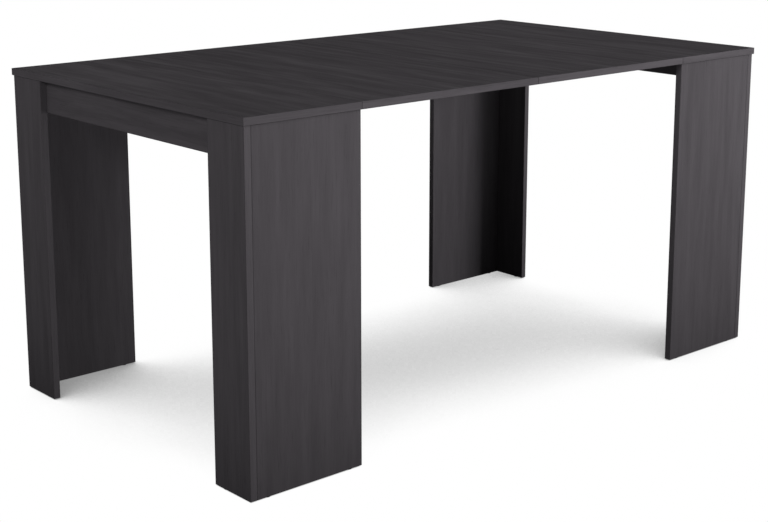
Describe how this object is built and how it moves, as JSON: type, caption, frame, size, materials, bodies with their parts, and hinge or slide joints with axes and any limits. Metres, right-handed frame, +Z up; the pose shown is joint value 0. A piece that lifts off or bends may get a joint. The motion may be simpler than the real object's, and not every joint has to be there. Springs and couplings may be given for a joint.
{
  "type": "extending console table",
  "caption": "Black wood-grain console table with panel legs at both ends; the ends pull apart on telescopic runners and loose leaves drop in between to make a dining table.",
  "frame": {"origin": "on the floor, under the middle of the open table", "axes": "+X along the table's length, from the left half to the right half; +Y from the front edge to the back edge; +Z up"},
  "size_m": [1.5998, 0.9, 0.77],
  "materials": {
    "black_board": "satin black wood-grain melamine",
    "aluminium": "mill-finish extrusion",
    "plated_steel": "bright zinc plate",
    "cast_zinc": "dull die casting",
    "beech": "bare fluted beech",
    "black_nylon": "matte black moulded nylon"
  },
  "bodies": {
    "left_half": {"left_top": "black_board", "left_front_side_panel": "black_board", "left_back_side_panel": "black_board", "left_front_end_panel": "black_board", "left_back_end_panel": "black_board", "left_apron": "black_board", "left_rail_sliders": "black_nylon", "left_rail_spacers": "black_nylon", "left_rail_screws": "plated_steel", "left_corner_dowels": "beech", "left_top_dowels": "beech", "left_cam_locks": "cast_zinc", "left_cam_bolts": "plated_steel", "left_apron_screws": "plated_steel", "left_brackets": "plated_steel", "left_bracket_screws": "plated_steel", "left_floor_glides": "black_nylon", "front_left_rail": "aluminium", "back_left_rail": "aluminium", "left_top_pins": "black_nylon"},
    "right_half": {"right_top": "black_board", "right_front_side_panel": "black_board", "right_back_side_panel": "black_board", "right_front_end_panel": "black_board", "right_back_end_panel": "black_board", "right_apron": "black_board", "right_rail_sliders": "black_nylon", "right_rail_spacers": "black_nylon", "right_rail_screws": "plated_steel", "right_corner_dowels": "beech", "right_top_dowels": "beech", "right_cam_locks": "cast_zinc", "right_cam_bolts": "plated_steel", "right_apron_screws": "plated_steel", "right_brackets": "plated_steel", "right_bracket_screws": "plated_steel", "right_floor_glides": "black_nylon", "front_right_rail": "aluminium", "back_right_rail": "aluminium"},
    "stage_1": {"front_slide_1": "aluminium", "back_slide_1": "aluminium", "slide_1_sliders": "black_nylon", "slide_1_stops": "black_nylon"},
    "stage_2": {"front_slide_2": "aluminium", "back_slide_2": "aluminium", "slide_2_stops": "black_nylon"},
    "first_leaf": {"leaf_1": "black_board", "leaf_1_pins": "black_nylon"},
    "second_leaf": {"leaf_2": "black_board", "leaf_2_pins": "black_nylon"}
  },
  "joints": [
    {"name": "extension", "type": "slide", "parent": "left_half", "child": "right_half", "axis": [1, 0, 0], "range_m": [-1.0192, 0]},
    {"name": "stage_1_slide", "type": "slide", "parent": "left_half", "child": "stage_1", "axis": [1, 0, 0], "range_m": [-0.33973, 0]},
    {"name": "stage_2_slide", "type": "slide", "parent": "left_half", "child": "stage_2", "axis": [1, 0, 0], "range_m": [-0.67947, 0]},
    {"name": "leaf_1_lift", "type": "slide", "parent": "left_half", "child": "first_leaf", "axis": [0, 0, 1], "range_m": [0, 0.3]},
    {"name": "leaf_2_lift", "type": "slide", "parent": "left_half", "child": "second_leaf", "axis": [0, 0, 1], "range_m": [0, 0.3]}
  ],
  "couplings": [
    {"joint": "stage_1_slide", "follows": "extension", "ratio": 0.33333},
    {"joint": "stage_2_slide", "follows": "extension", "ratio": 0.66667},
    {"joint": "leaf_1_lift", "follows": "extension", "ratio": -0.2943},
    {"joint": "leaf_2_lift", "follows": "extension", "ratio": -0.2943}
  ]
}
